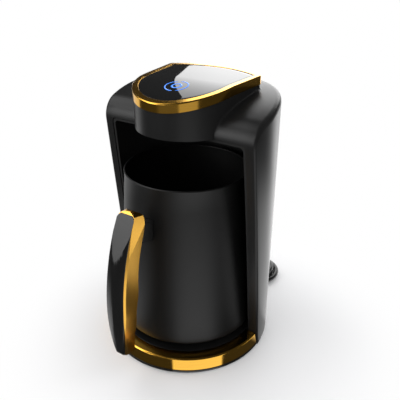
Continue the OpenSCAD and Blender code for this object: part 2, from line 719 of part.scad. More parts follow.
module cord_lead() color("#151517") sweep(lead_points, cord_r, 10);
module cord_tail() color("#151517") sweep(tail_points, cord_r, 10);

module stadium(r) {
    for (x = [hank_x0, hank_x1]) translate([x, hank_y]) circle(r = r, $fn = fine);
    translate([hank_x0, hank_y - r]) square([hank_x1 - hank_x0, 2 * r]);
}

// Three turns: two strands side by side below, one on the inner of them, and the
// lead's first run on the outer one
module cord_hank() color("#151517") {
    translate([0, 0, hank_low]) linear_extrude(layer) difference() {
        stadium(hank_out_r);
        stadium(hank_in_r);
    }
    translate([0, 0, hank_low + layer - 0.1]) linear_extrude(layer + 0.1) {
        difference() {
            stadium(hank_in_r + layer);
            stadium(hank_in_r);
        }
        translate([lead_end_x, hank_y + hank_in_r + layer - 0.1])
            square([last_shift_x - lead_end_x, layer + 0.1]);
    }
}

tie_w = 6;
tie_t = 0.6;
tie_gap = 0.1;

// Section of the near bundle in (Y, Z), grown by e; its upper outer corner is empty
function near_bundle(e) = let (y = hank_y - hank_in_r, z = hank_low) [[y + e, z - e], [y + e, z + 2 * layer + e],
    [y - layer - 0.4 * e, z + 2 * layer + e], [y - 2 * layer - e, z + layer + 0.4 * e], [y - 2 * layer - e, z - e]];
function far_bundle(e) = let (y = hank_y + hank_in_r, z = hank_low) [[y - e, z - e], [y + 2 * layer + e, z - e],
    [y + 2 * layer + e, z + 2 * layer + e], [y - e, z + 2 * layer + e]];

module cord_ties() color("#d8d8d8") translate([(hank_x0 + hank_x1) / 2, 0, 0]) {
    across(tie_w) difference() {
        polygon(near_bundle(tie_gap + tie_t));
        polygon(near_bundle(tie_gap));
    }
    across(tie_w) difference() {
        polygon(far_bundle(tie_gap + tie_t));
        polygon(far_bundle(tie_gap));
    }
}

plug_x = -40;                      // where the lead enters the plug
plug_y = 152.4;
plug_z = 7;
plug_len = 36;
pin_pitch = 18.6;
pin_len = 19;
pin_r = 2;

// A flat two-pin plug: slim at the lead, wide and flat at its pin face
module plug_body() color("#151517") translate([plug_x, plug_y, plug_z]) difference() {
    intersection() {
        translate([0, 0, -7]) linear_extrude(14) polygon([[0, 4], [0, -4], [-6, -6], [-14, -13.5], [-22, -17],
            [-plug_len, -17.6], [-plug_len, 17.6], [-22, 17], [-14, 13.5], [-6, 6]]);
        rotate([90, 0, 0]) translate([0, 0, -20]) linear_extrude(40) polygon([[0.5, 4], [0.5, -4], [-8, -6.4],
            [-24, -6.85], [-plug_len, -6], [-plug_len, 6], [-24, 6.85], [-8, 6.4]]);
    }
    for (y = [-pin_pitch / 2, pin_pitch / 2]) translate([-plug_len - over, y, 0]) rotate([0, 90, 0])
        cylinder(r = pin_r + 0.05, h = 10 + over, $fn = 32);
}

module plug_pins() color("#c9c9cc") for (y = [-pin_pitch / 2, pin_pitch / 2])
    translate([plug_x - plug_len - pin_len, plug_y + y, plug_z]) {
        translate([1.2, 0, 0]) rotate([0, 90, 0]) cylinder(r = pin_r, h = pin_len + 8.4, $fn = 32);
        rotate([0, 90, 0]) cylinder(r1 = pin_r - 0.8, r2 = pin_r, h = 1.2, $fn = 32);
    }

module touch_spring() color("#b8bcc2") under_glass()
    sweep([for (i = [0 : 60]) let (a = i * 24) [3 * cos(a), 3 * sin(a), -board_drop + 0.6 + i * 0.105]], 0.35, 6);

floor_pan();
rubber_feet();
base_screws();
base_trim();
deck_plate();
plate_seal();
hot_plate();
heating_element();
heater_tray();
thermostat();
thermal_fuse();
body_shell();
recess_liner();
power_board();
power_relay();
wire_loom();
head_housing();
head_trim();
touch_panel();
light_guide();
control_board();
touch_spring();
buzzer();
sensor_lens();
sensor_board();
head_screws();
pot_body();
pot_diffuser();
handle_bracket();
handle_frame();
handle_grip();
handle_screws();
cord_gland();
cord_lead();
cord_hank();
cord_tail();
cord_ties();
plug_body();
plug_pins();
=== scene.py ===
import json
import math

import bpy
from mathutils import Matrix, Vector


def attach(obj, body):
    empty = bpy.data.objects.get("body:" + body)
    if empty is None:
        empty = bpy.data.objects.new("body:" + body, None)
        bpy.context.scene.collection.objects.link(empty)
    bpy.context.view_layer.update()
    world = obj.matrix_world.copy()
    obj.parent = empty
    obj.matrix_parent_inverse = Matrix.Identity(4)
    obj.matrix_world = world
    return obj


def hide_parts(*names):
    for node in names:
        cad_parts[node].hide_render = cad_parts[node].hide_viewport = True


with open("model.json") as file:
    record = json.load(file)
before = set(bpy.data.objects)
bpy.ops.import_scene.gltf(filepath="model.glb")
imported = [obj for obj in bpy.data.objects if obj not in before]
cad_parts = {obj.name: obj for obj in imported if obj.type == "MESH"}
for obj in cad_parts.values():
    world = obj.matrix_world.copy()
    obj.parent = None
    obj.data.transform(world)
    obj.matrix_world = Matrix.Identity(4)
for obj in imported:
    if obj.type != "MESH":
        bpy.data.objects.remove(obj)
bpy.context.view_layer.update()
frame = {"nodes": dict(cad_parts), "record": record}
nodes = frame["nodes"]
bpy.context.scene.view_settings.view_transform = "Standard"
print("frame loaded,", len(nodes), "nodes")

mm = 0.001
weld = 0.00001  # points closer than this, in metres, are merged
tiny = 1e-9  # room for rounding, in millimetres


# helpers for modelling

def deselect():
    if bpy.context.object and bpy.context.object.mode != "OBJECT":
        bpy.ops.object.mode_set(mode="OBJECT")
    bpy.ops.object.select_all(action="DESELECT")


def activate(obj):
    deselect()
    obj.select_set(True)
    bpy.context.view_layer.objects.active = obj
    return obj


def mergeMesh(obj):
    # merges the points that touch and turns the faces outwards
    activate(obj)
    bpy.ops.object.mode_set(mode="EDIT")
    bpy.ops.mesh.select_all(action="SELECT")
    bpy.ops.mesh.remove_doubles(threshold=weld)
    bpy.ops.mesh.select_all(action="SELECT")
    bpy.ops.mesh.normals_make_consistent(inside=False)
    bpy.ops.object.mode_set(mode="OBJECT")


def sheetOf(name, columns, rows, spotAt):
    # a grid primitive whose points are put in place by spotAt(u, v), both 0 to 1
    deselect()
    bpy.ops.mesh.primitive_grid_add(x_subdivisions=columns, y_subdivisions=rows, size=2)
    obj = bpy.context.object
    obj.name = name
    for vertex in obj.data.vertices:
        u = round((vertex.co.x + 1) / 2 * columns) / columns
        v = round((vertex.co.y + 1) / 2 * rows) / rows
        vertex.co = Vector(spotAt(u, v)) * mm
    mergeMesh(obj)
    bpy.ops.object.shade_smooth()
    return obj


def loftOf(name, loops):
    # a sheet through loops of points, each with as many points as the others
    columns, rows = len(loops[0]) - 1, len(loops) - 1
    return sheetOf(name, columns, rows, lambda u, v: loops[round(v * rows)][round(u * columns)])


def lathe(name, outline, sides=192):
    # spins points (r, z) round the upright axis
    turns = [2 * math.pi * (i / sides) for i in range(sides + 1)]
    return loftOf(name, [[(r * math.cos(turn), r * math.sin(turn), z) for turn in turns] for r, z in outline])


def arcPoints(centre, radius, start, end, steps):
    # points round a centre from one angle to another, both included
    angles = [start + (end - start) * i / steps for i in range(steps + 1)]
    return [(centre[0] + radius * math.cos(a), centre[1] + radius * math.sin(a)) for a in angles]


def addModifier(obj, kind, **settings):
    activate(obj)
    modifier = obj.modifiers.new(kind.title(), kind)
    for key, value in settings.items():
        setattr(modifier, key, value)
    bpy.ops.object.modifier_apply(modifier=modifier.name)
    return obj


def cutBy(obj, cutter):
    addModifier(obj, "BOOLEAN", object=cutter, operation="DIFFERENCE", solver="EXACT")
    bpy.data.objects.remove(cutter)
    return obj


def joinOnto(obj, others):
    activate(obj)
    for other in others:
        other.select_set(True)
    bpy.ops.object.join()
    return obj


def smoothByAngle(obj, angle, weighted=False):
    activate(obj)
    bpy.ops.object.shade_smooth_by_angle(angle=math.radians(angle))
    if weighted:  # broad faces stay flat beside their eased edges
        addModifier(obj, "WEIGHTED_NORMAL", keep_sharp=True)
    return obj


def finishPiece(obj, material, body, slotName, *replaced):
    obj.data.materials.clear()
    obj.data.materials.append(material)
    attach(obj, body)
    if replaced:
        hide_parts(*replaced)
    return obj


def turnTo(obj, at, target):
    obj.rotation_euler = (Vector(target) - Vector(at)).to_track_quat("-Z", "Y").to_euler()


# shader maths: a socket that can be added, subtracted, multiplied and compared

class Shade:
    def __init__(self, tree, socket):
        self.tree = tree
        self.socket = socket

    def math(self, operation, *others):
        sockets = dict(enumerate((self,) + others))
        return addNode(self.tree, "ShaderNodeMath", 0, {"operation": operation}, sockets)

    def __add__(self, other):
        return self.math("ADD", other)

    def __sub__(self, other):
        return self.math("SUBTRACT", other)

    def __rsub__(self, other):
        return self * -1 + other

    def __mul__(self, other):
        return self.math("MULTIPLY", other)

    def __lt__(self, other):
        return self.math("LESS_THAN", other)

    __radd__ = __add__
    __rmul__ = __mul__

    def ramp(self, low, high):
        # 0 below low, 1 above high, smooth between them
        return addNode(self.tree, "ShaderNodeMapRange", "Result", {"interpolation_type": "SMOOTHSTEP"},
                       {"Value": self, "From Min": low, "From Max": high})


def link(tree, value, socket):
    if isinstance(value, Shade):
        tree.links.new(value.socket, socket)
    else:
        socket.default_value = value


def addNode(tree, kind, output=0, settings=None, sockets=None):
    # any node: its settings first, then the values or links of its sockets
    node = tree.nodes.new(kind)
    for key, value in (settings or {}).items():
        setattr(node, key, value)
    for key, value in (sockets or {}).items():
        link(tree, value, node.inputs[key])
    return Shade(tree, node.outputs[output])


def newMaterial(name, constants):
    # the material, its node tree and the sockets of its shader
    material = bpy.data.materials.new(name)
    material.use_nodes = True
    tree = material.node_tree
    shader = tree.nodes["Principled BSDF"].inputs
    for key, value in constants.items():
        shader[key].default_value = value
    return material, tree, shader


def place(tree):
    return addNode(tree, "ShaderNodeTexCoord", "Object")


def axes(tree, vector):
    first = addNode(tree, "ShaderNodeSeparateXYZ", 0, None, {0: vector})
    return [Shade(tree, output) for output in first.socket.node.outputs]


def noise(tree, vector, scale, detail):
    return addNode(tree, "ShaderNodeTexNoise", 0, None, {"Vector": vector, "Scale": scale, "Detail": detail})


def mixColor(tree, factor, first, second):
    return addNode(tree, "ShaderNodeMix", 2, {"data_type": "RGBA"}, {0: factor, 6: first, 7: second})


def bump(tree, shader, height, strength, distance):
    sockets = {"Height": height, "Strength": strength, "Distance": distance}
    link(tree, addNode(tree, "ShaderNodeBump", 0, None, sockets), shader["Normal"])


# camera

camera = {"at": (200.1, -279.2, 281.9), "target": (11.8, 0, 116.0), "lens": 45, "sensor": 36, "clip": 10}

deselect()
bpy.ops.object.camera_add(location=Vector(camera["at"]) * mm)
cam = bpy.context.object
turnTo(cam, camera["at"], camera["target"])
cam.data.lens = camera["lens"]
cam.data.sensor_width = camera["sensor"]
cam.data.clip_start = camera["clip"] * mm
bpy.context.scene.camera = cam
print("camera set")

# mains lead, one line from the relief through the hank to the plug

lead = {
    "diameter": 5, "layer": 5.15, "lift": 0.8, "innerRun": 16, "hankY": 91.2, "leftX": -28.5, "rightX": 14.5,
    "shift": 21, "lag": 5.4, "turnSteps": 16, "runSteps": 6, "roundness": 3,
    "start": [(-56.5, 67.3, 12), (-59, 70.3, 12), (-61.2, 72.9, 11.7), (-64.6, 78.2, 10.7),
              (-66.4, 84.1, 9.4), (-66.7, 90.4, 8.1), (-65.4, 96.5, 7.1), (-62.5, 102.1, 6.6),
              (-58.2, 106.7, 6.6), (-52.9, 110.2, 7.1), (-47, 112.1, 7.8), (-41, 112.35, 8.5),
              (-35, 112.35, 8.5)],
}
tail = {  # the end that goes on to the plug: it sinks to the table, then rises into the plug
    "bend": 20, "turnSteps": 14, "straightSteps": 4, "step": 2.9, "low": 2.7, "sinkOver": 20,
    "rise": 4.3, "riseFrom": 37, "riseOver": 34,
}


def easeStep(t):
    return (1 - math.cos(math.pi * min(max(t, 0), 1))) / 2


def hankEnd(x, side, radius, height):
    # a half turn at one end of the hank, side 1 at the right and -1 at the left
    steps = lead["turnSteps"]
    turns = [math.pi * i / steps for i in range(1, steps)]
    return [(x + side * radius * math.sin(turn), lead["hankY"] + side * radius * math.cos(turn), height)
            for turn in turns]


def tailRoute(low, outer):
    points = []
    for i in range(tail["turnSteps"] + tail["straightSteps"] + 1):
        angle = math.pi * min(i, tail["turnSteps"]) / tail["turnSteps"]
        straight = tail["step"] * max(i - tail["turnSteps"], 0)
        run = tail["bend"] * angle + straight
        height = low - (low - tail["low"]) * easeStep(run / tail["sinkOver"])
        height += tail["rise"] * easeStep((run - tail["riseFrom"]) / tail["riseOver"])
        points.append((lead["leftX"] + tail["bend"] * math.sin(angle) - straight,
                       lead["hankY"] + outer + tail["bend"] * (1 - math.cos(angle)), height))
    return points


def leadRoute():
    inner, outer = lead["innerRun"], lead["innerRun"] + lead["layer"]
    low = lead["lift"] + lead["layer"] / 2
    high = low + lead["layer"]
    span = lead["rightX"] - lead["leftX"]
    points = list(lead["start"])
    before = (outer, high)
    for turn, (radius, height) in enumerate([(inner, high), (inner, low), (outer, low)]):
        shiftFrom = lead["leftX"] + lead["lag"] * (3 - turn)
        for i in range(lead["turnSteps"] + 1):  # far run, where it moves over to this turn's place
            x = lead["leftX"] + span * i / lead["turnSteps"]
            part = easeStep((x - shiftFrom) / lead["shift"])
            points.append((x, lead["hankY"] + before[0] + (radius - before[0]) * part,
                           before[1] + (height - before[1]) * part))
        points += hankEnd(lead["rightX"], 1, radius, height)
        points += [(lead["rightX"] - span * i / lead["runSteps"], lead["hankY"] - radius, height)
                   for i in range(lead["runSteps"] + 1)]
        points += hankEnd(lead["leftX"], -1, radius, height)
        before = (radius, height)
    return points + tailRoute(low, outer)


route = leadRoute()
deselect()
bpy.ops.curve.primitive_nurbs_path_add(radius=1, location=(0, 0, 0))
mainsLead = bpy.context.object
mainsLead.name = "mains_lead"
mainsLead.data.splines.clear()
line = mainsLead.data.splines.new("POLY")
line.points.add(len(route) - 1)
for point, spot in zip(line.points, route):
    point.co = (spot[0] * mm, spot[1] * mm, spot[2] * mm, 1)
mainsLead.data.bevel_depth = lead["diameter"] / 2 * mm
mainsLead.data.bevel_resolution = lead["roundness"]
mainsLead.data.use_fill_caps = True
leadLength = sum(math.dist(a, b) for a, b in zip(route, route[1:])) * mm
[c * mm for c in route[0]]
lead["diameter"] * mm
print("lead laid,", round(leadLength, 3), "m")


# finishes

def darkAndPale(look):
    # the two ends of a finish's slow change of tone
    return [[min(c * (1 + side * look["mottle"]), 1) for c in look["color"]] + [1] for side in (-1, 1)]


def mouldedFinish(name, look):
    # moulded or coated: a fine spark grain, a slow cloud in tone and gloss
    material, tree, shader = newMaterial(
        name, {"Coat Weight": look.get("coat", 0.0), "Specular IOR Level": look.get("shine", 0.5)})
    grain = noise(tree, place(tree), look["grain"], moulded["grainDetail"])
    cloud = noise(tree, place(tree), moulded["cloud"], moulded["cloudDetail"])
    link(tree, mixColor(tree, cloud.ramp(*moulded["tones"]), *darkAndPale(look)), shader["Base Color"])
    uneven = (cloud - 0.5) * look["uneven"] + (grain - 0.5) * look["uneven"]
    link(tree, look["rough"] + uneven, shader["Roughness"])
    bump(tree, shader, grain, 1.0, look["depth"] * mm)
    return material


def brushedFinish(name, look):
    # drawn or brushed metal: streaks along one way, a slow change of gloss
    material, tree, shader = newMaterial(name, {"Metallic": 1.0})
    stretched = addNode(tree, "ShaderNodeMapping", 0, None, {"Vector": place(tree), "Scale": look["streaks"]})
    streak = noise(tree, stretched, 1.0, brushed["detail"])
    cloud = noise(tree, place(tree), brushed["cloud"], brushed["detail"])
    tone = (streak * brushed["streakPart"] + cloud * (1 - brushed["streakPart"])).ramp(*brushed["tones"])
    link(tree, mixColor(tree, tone, *darkAndPale(look)), shader["Base Color"])
    uneven = (streak - 0.5) * look["uneven"] + (cloud - 0.5) * look["uneven"]
    link(tree, look["rough"] + uneven, shader["Roughness"])
    bump(tree, shader, streak, 1.0, look["depth"] * mm)
    return material


def boardFinish(name, look):
    # printed board: mask over copper runs, pale rings of solder
    material, tree, shader = newMaterial(name, {"Roughness": look["rough"]})
    runs = addNode(tree, "ShaderNodeTexBrick", 1, None,
                   {"Vector": place(tree), "Scale": look["runScale"], "Mortar Size": look["runGap"]})
    pads = addNode(tree, "ShaderNodeTexVoronoi", 0, None, {"Vector": place(tree), "Scale": look["padScale"]})
    masked = mixColor(tree, runs.ramp(*look["runEdge"]), look["color"] + [1], look["run"] + [1])
    link(tree, mixColor(tree, pads < look["padSize"], masked, look["pad"] + [1]), shader["Base Color"])
    bump(tree, shader, runs, look["relief"], look["depth"] * mm)
    return material


# what all moulded and all brushed finishes share
moulded = {"cloud": 18.0, "cloudDetail": 4.0, "grainDetail": 2.0, "tones": (0.3, 0.7)}
brushed = {"cloud": 25.0, "detail": 3.0, "tones": (0.3, 0.7), "streakPart": 0.6}
plastics = {
    "shell_plastic": {"color": [0.01, 0.01, 0.01], "rough": 0.34, "uneven": 0.05, "mottle": 0.06,
                      "grain": 2600.0, "depth": 0.006, "shine": 0.36},
    "base_plastic": {"color": [0.008, 0.008, 0.008], "rough": 0.38, "uneven": 0.06, "mottle": 0.08,
                     "grain": 2400.0, "depth": 0.008},
    "foot_rubber": {"color": [0.03, 0.03, 0.03], "rough": 0.85, "uneven": 0.1, "mottle": 0.15,
                    "grain": 1500.0, "depth": 0.02},
    "plate_coat": {"color": [0.02, 0.02, 0.021], "rough": 0.4, "uneven": 0.1, "mottle": 0.2,
                   "grain": 1800.0, "depth": 0.015},
    "seal_rubber": {"color": [0.045, 0.045, 0.045], "rough": 0.7, "uneven": 0.1, "mottle": 0.12,
                    "grain": 1500.0, "depth": 0.01},
    "ceramic_white": {"color": [0.78, 0.75, 0.68], "rough": 0.4, "uneven": 0.1, "mottle": 0.06,
                      "grain": 1200.0, "depth": 0.01},
    "liner_plastic": {"color": [0.009, 0.009, 0.009], "rough": 0.62, "uneven": 0.08, "mottle": 0.12,
                      "grain": 2000.0, "depth": 0.012},
    "relay_blue": {"color": [0.03, 0.09, 0.3], "rough": 0.4, "uneven": 0.08, "mottle": 0.08,
                   "grain": 1800.0, "depth": 0.008},
    "wire_red": {"color": [0.35, 0.03, 0.02], "rough": 0.5, "uneven": 0.1, "mottle": 0.15,
                 "grain": 900.0, "depth": 0.01},
    "touch_glass": {"color": [0.009, 0.009, 0.009], "rough": 0.02, "uneven": 0.01, "mottle": 0.1,
                    "grain": 60.0, "depth": 0.0},
    "guide_plastic": {"color": [0.2, 0.45, 0.8], "rough": 0.25, "uneven": 0.08, "mottle": 0.08,
                      "grain": 900.0, "depth": 0.004},
    "lens_plastic": {"color": [0.12, 0.02, 0.03], "rough": 0.12, "uneven": 0.05, "mottle": 0.1,
                     "grain": 900.0, "depth": 0.002, "coat": 0.6},
    "pot_enamel": {"color": [0.004, 0.004, 0.004], "rough": 0.48, "uneven": 0.05, "mottle": 0.08,
                   "grain": 2200.0, "depth": 0.008},
    "grip_plastic": {"color": [0.005, 0.005, 0.005], "rough": 0.28, "uneven": 0.06, "mottle": 0.08,
                     "grain": 2600.0, "depth": 0.006},
    "cord_pvc": {"color": [0.007, 0.007, 0.007], "rough": 0.42, "uneven": 0.12, "mottle": 0.15,
                 "grain": 1400.0, "depth": 0.012},
    "tie_pvc": {"color": [0.05, 0.05, 0.05], "rough": 0.55, "uneven": 0.1, "mottle": 0.1,
                "grain": 1600.0, "depth": 0.02},
}
metals = {
    "gilt_metal": {"color": [0.86, 0.47, 0.07], "rough": 0.15, "uneven": 0.05, "mottle": 0.05,
                   "streaks": (90.0, 90.0, 1500.0), "depth": 0.001},
    "satin_gilt": {"color": [0.86, 0.47, 0.08], "rough": 0.26, "uneven": 0.02, "mottle": 0.03,
                   "streaks": (300.0, 300.0, 900.0), "depth": 0.0001},
    "screw_steel": {"color": [0.5, 0.5, 0.52], "rough": 0.32, "uneven": 0.15, "mottle": 0.12,
                    "streaks": (900.0, 900.0, 200.0), "depth": 0.004},
    "heater_metal": {"color": [0.36, 0.35, 0.33], "rough": 0.45, "uneven": 0.2, "mottle": 0.2,
                     "streaks": (700.0, 700.0, 700.0), "depth": 0.01},
    "tray_metal": {"color": [0.6, 0.61, 0.62], "rough": 0.34, "uneven": 0.15, "mottle": 0.08,
                   "streaks": (60.0, 1400.0, 60.0), "depth": 0.004},
    "spring_steel": {"color": [0.55, 0.54, 0.52], "rough": 0.28, "uneven": 0.1, "mottle": 0.08,
                     "streaks": (300.0, 300.0, 1500.0), "depth": 0.003},
    "pin_nickel": {"color": [0.7, 0.69, 0.66], "rough": 0.2, "uneven": 0.1, "mottle": 0.06,
                   "streaks": (60.0, 1600.0, 1600.0), "depth": 0.002},
}
boards = {
    "board_green": {"color": [0.01, 0.09, 0.04], "run": [0.02, 0.2, 0.08], "pad": [0.6, 0.55, 0.4],
                    "rough": 0.35, "runScale": 140.0, "runGap": 0.03, "padScale": 260.0, "padSize": 0.18,
                    "runEdge": (0.2, 0.8), "relief": 0.6, "depth": 0.05},
}
finish = {name: mouldedFinish(name, look) for name, look in plastics.items()}
finish.update({name: brushedFinish(name, look) for name, look in metals.items()})
finish.update({name: boardFinish(name, look) for name, look in boards.items()})

slotOf = {part["node"]: part["material_slot"] for part in frame["record"]["subparts"]}
for name, node in nodes.items():
    node.data.materials.clear()
    node.data.materials.append(finish[slotOf[name]])
finishPiece(mainsLead, finish["cord_pvc"], "housing", "cord_pvc", "cord_lead", "cord_hank", "cord_tail")
print("finishes made,", len(finish))

# drum: leaning front, roll and crown, with a soft edge where they meet the round wall

drum = {
    "radius": 65.8, "wall": 2.4, "low": 0.8, "frontFoot": 2.2, "lean": 5.9,
    "rollZ": 171.5, "roll": 17, "rollEnd": 20, "crown": 170, "edgeFront": 1.5, "edgeTop": 4.2,
    "recess": 59.0, "recessTop": 172.5, "recessEdge": 3.4, "recessBelow": 3,
    "footEase": 3.0, "footIn": 0.9, "footMost": 0.999, "footFrom": -2, "footOver": 12,
    "headZ": 170.4, "headHigh": 60, "headGap": 0.3,
    "glandAt": 130, "glandZ": 12, "glandHole": 5.4, "glandDeep": 24, "glandSides": 48,
    "faceColumns": 8, "edgeColumns": 7, "wallColumns": 44, "rows": 150,
    "frontPoints": 200, "rollPoints": 100, "frontGap": 2, "crownStep": 0.003, "recessSteps": 8,
    "closeRows": 12,  # the last rows lie closer together, since the crown narrows fast at the back
    "climbRow": 112,  # from here on the rows share out what is left to climb at the back
    "smooth": 30,
}


def denseProfile():
    # many points (y, z) up the front, over the roll and back along the crown
    lean, end = math.radians(drum["lean"]), math.radians(drum["rollEnd"])
    rise = drum["rollZ"] - drum["frontGap"] - drum["low"]
    heights = [drum["low"] + rise * i / drum["frontPoints"] for i in range(drum["frontPoints"] + 1)]
    points = [(drum["frontFoot"] - z * math.tan(lean), z) for z in heights]
    rollY = drum["frontFoot"] - drum["rollZ"] * math.tan(lean) + drum["roll"]
    points += arcPoints((rollY, drum["rollZ"]), drum["roll"], math.pi, math.pi / 2 + end, drum["rollPoints"])
    crownY = rollY + (drum["crown"] - drum["roll"]) * math.sin(end)
    crownZ = drum["rollZ"] - (drum["crown"] - drum["roll"]) * math.cos(end)
    angle = math.pi / 2 + end
    while points[-1][0] < drum["radius"] - drum["edgeTop"]:
        angle -= drum["crownStep"]
        points.append((crownY + drum["crown"] * math.cos(angle), crownZ + drum["crown"] * math.sin(angle)))
    return points


def sideProfile(steps):
    # the same line in even steps
    dense = denseProfile()
    lengths = [0]
    for a, b in zip(dense, dense[1:]):
        lengths.append(lengths[-1] + math.dist(a, b))
    close = drum["closeRows"]
    points = [dense[0]]
    for i in range(1, steps + 1):
        left = 1 - (i - steps + close) / close
        goal = lengths[-1] * (i / steps if i < steps - close else 1 - close / steps * left ** 2)
        at = next(k for k, length in enumerate(lengths) if length >= goal - tiny)
        part = (goal - lengths[at - 1]) / (lengths[at] - lengths[at - 1])
        a, b = dense[at - 1], dense[at]
        points.append((a[0] + (b[0] - a[0]) * part, a[1] + (b[1] - a[1]) * part))
    return points


def drumRow(before, spot, after, last):
    # one row of points from the middle of the face round its soft edge to the wall
    y, z = spot
    faceColumns, edgeColumns = drum["faceColumns"], drum["edgeColumns"]
    size = math.dist(before, after)
    along = ((after[0] - before[0]) / size, (after[1] - before[1]) / size)
    inward = (along[1], -along[0])
    crownPart = min(max(along[0], 0), 1) ** 2
    edge = drum["edgeFront"] + (drum["edgeTop"] - drum["edgeFront"]) * crownPart
    y = min(y, drum["radius"] - edge)
    turned = math.asin(y / (drum["radius"] - edge))
    width = (drum["radius"] - edge) * math.cos(turned)
    row = [(width * column / faceColumns, y, z) for column in range(faceColumns)]
    for step in range(edgeColumns + 1):
        angle = math.pi / 2 * step / edgeColumns
        depth = edge * (1 - math.cos(angle))
        radius = drum["radius"] - edge + edge * math.sin(angle)
        slide = crownPart * (radius - drum["radius"] + edge) * math.sin(turned)
        edgeY = radius if last else min(y + inward[0] * depth + along[0] * slide, radius)
        edgeZ = z + inward[1] * depth + along[1] * slide
        row.append((math.sqrt(max(radius ** 2 - edgeY ** 2, 0)), edgeY, edgeZ))
    return row


def wallRow(start, backZ):
    # from the soft edge round the wall to the middle of the back
    x, y, z = start
    first = math.atan2(y, x)
    row = []
    for step in range(1, drum["wallColumns"] + 1):
        part = step / drum["wallColumns"]
        angle = first + (math.pi / 2 - first) * part
        spot = (drum["radius"] * math.cos(angle), drum["radius"] * math.sin(angle))
        row.append((*spot, z + (backZ - z) * part))
    return row


def footEased(x, y, z):
    # the wall rounds in near the floor
    ease = drum["footEase"]
    if z >= drum["low"] + ease:
        return (x, y, z)
    part = 1 - math.sqrt(max(1 - ((drum["low"] + ease - z) / ease) ** 2, 0)) * drum["footMost"]
    behind = min(max((y - drum["footFrom"]) / drum["footOver"], 0), 1)  # less of it towards the front
    shrink = 1 - drum["footIn"] * part * behind / drum["radius"]
    return (x * shrink, y * shrink, z)


def drumSheet():
    rows, climb = drum["rows"], drum["climbRow"]
    profile = sideProfile(rows)
    faces = [drumRow(profile[max(i - 1, 0)], profile[i], profile[min(i + 1, rows)], i == rows)
             for i in range(rows + 1)]
    climbZ, topZ = faces[climb][-1][2], faces[rows][-1][2]
    loops = []
    for i, face in enumerate(faces):
        backZ = face[-1][2] if i <= climb else climbZ + (topZ - climbZ) * (i - climb) / (rows - climb)
        half = [footEased(*spot) for spot in face + wallRow(face[-1], backZ)]
        loops.append([(-x, y, z) for x, y, z in reversed(half[1:])] + half)
    return loftOf("drum_shell", loops)


def recessCutter():
    corner, below = drum["recessEdge"], drum["low"] - drum["recessBelow"]
    opening = [(0, below), (drum["recess"], below)]
    opening += arcPoints((drum["recess"] - corner, drum["recessTop"] - corner), corner, 0, math.pi / 2,
                         drum["recessSteps"])
    return lathe("recess_cutter", opening + [(0, drum["recessTop"])])


def headCutter():
    # where the head comes through
    plan = headOutline(head["wallInset"] - drum["headGap"])
    low, high = drum["headZ"], drum["headZ"] + drum["headHigh"]
    middle = (0, head["middle"])
    levels = [(middle, low), (None, low), (None, high), (middle, high)]
    return loftOf("head_cutter", [[(*(spot or point), z) for point in plan] for spot, z in levels])


def glandCutter():
    # where the lead comes out
    turn = math.radians(drum["glandAt"])
    spot = (drum["radius"] * math.cos(turn), drum["radius"] * math.sin(turn), drum["glandZ"])
    deselect()
    bpy.ops.mesh.primitive_cylinder_add(
        vertices=drum["glandSides"], radius=drum["glandHole"] * mm, depth=drum["glandDeep"] * mm,
        rotation=(0, math.pi / 2, turn), location=Vector(spot) * mm)
    return bpy.context.object


def makeDrum():
    shell = drumSheet()
    addModifier(shell, "SOLIDIFY", thickness=drum["wall"] * mm, offset=-1, use_even_offset=False,
                use_quality_normals=True)
    cutBy(shell, recessCutter())
    cutBy(shell, headCutter())
    return cutBy(shell, glandCutter())


# head: plan outline, sloping top, trim, glass and the soft foot where it leaves the drum

head = {
    "radius": 36.9, "flare": 2.8, "corner": 3.0, "back": 47.0, "bow": 10.5, "cornerLeast": 0.8,
    "nose": 19, "tail": 2.5, "arc": 152.5, "frontZ": 196.6, "wallInset": 0.6, "middle": 5,
    "frontSteps": 44, "sideSteps": 14, "cornerSteps": 7, "backSteps": 14,
}


def headOutline(inset):
    # half outline from the middle of the front round to the middle of the back, then mirrored
    radius = head["radius"] - inset
    wide = head["radius"] + head["flare"] - head["corner"]
    end = math.pi / 2 - math.atan(2 * head["bow"] / wide)
    corner = max(head["corner"] - inset, head["cornerLeast"])
    moved = head["corner"] - inset - corner
    cornerX = wide + moved
    cornerY = head["back"] - head["bow"] - head["corner"] * math.sin(end)
    cornerY += moved * (1 - math.cos(end)) / math.sin(end)
    backX, backY = cornerX + corner * math.cos(end), cornerY + corner * math.sin(end)
    half = arcPoints((0, 0), radius, -math.pi / 2, 0, head["frontSteps"])
    sides, backs = head["sideSteps"], head["backSteps"]
    spread, rise = cornerX + corner - radius, head["back"] - inset - backY
    half += [(radius + spread * i / sides, cornerY * i / sides) for i in range(1, sides + 1)]
    half += arcPoints((cornerX, cornerY), corner, 0, end, head["cornerSteps"])[1:]
    lefts = [1 - i / backs for i in range(1, backs + 1)]
    half += [(backX * left, backY + rise * (1 - left ** 2)) for left in lefts]
    return half + [(-x, y) for x, y in reversed(half[1:-1])] + [half[0]]


def headTop(y):
    nose, tail = math.radians(head["nose"]), math.radians(head["tail"])
    middleY = -head["radius"] + head["arc"] * math.sin(nose)
    middleZ = head["frontZ"] - head["arc"] * math.cos(nose)
    tailY = middleY - head["arc"] * math.sin(tail)
    if y < tailY:
        return middleZ + math.sqrt(head["arc"] ** 2 - (middleY - y) ** 2)
    return middleZ + head["arc"] * math.cos(tail) + (y - tailY) * math.tan(tail)


drumShell = makeDrum()
finishPiece(drumShell, finish["shell_plastic"], "housing", "shell_plastic", "body_shell")
smoothByAngle(drumShell, drum["smooth"])
print("drum made,", len(drumShell.data.polygons), "faces")


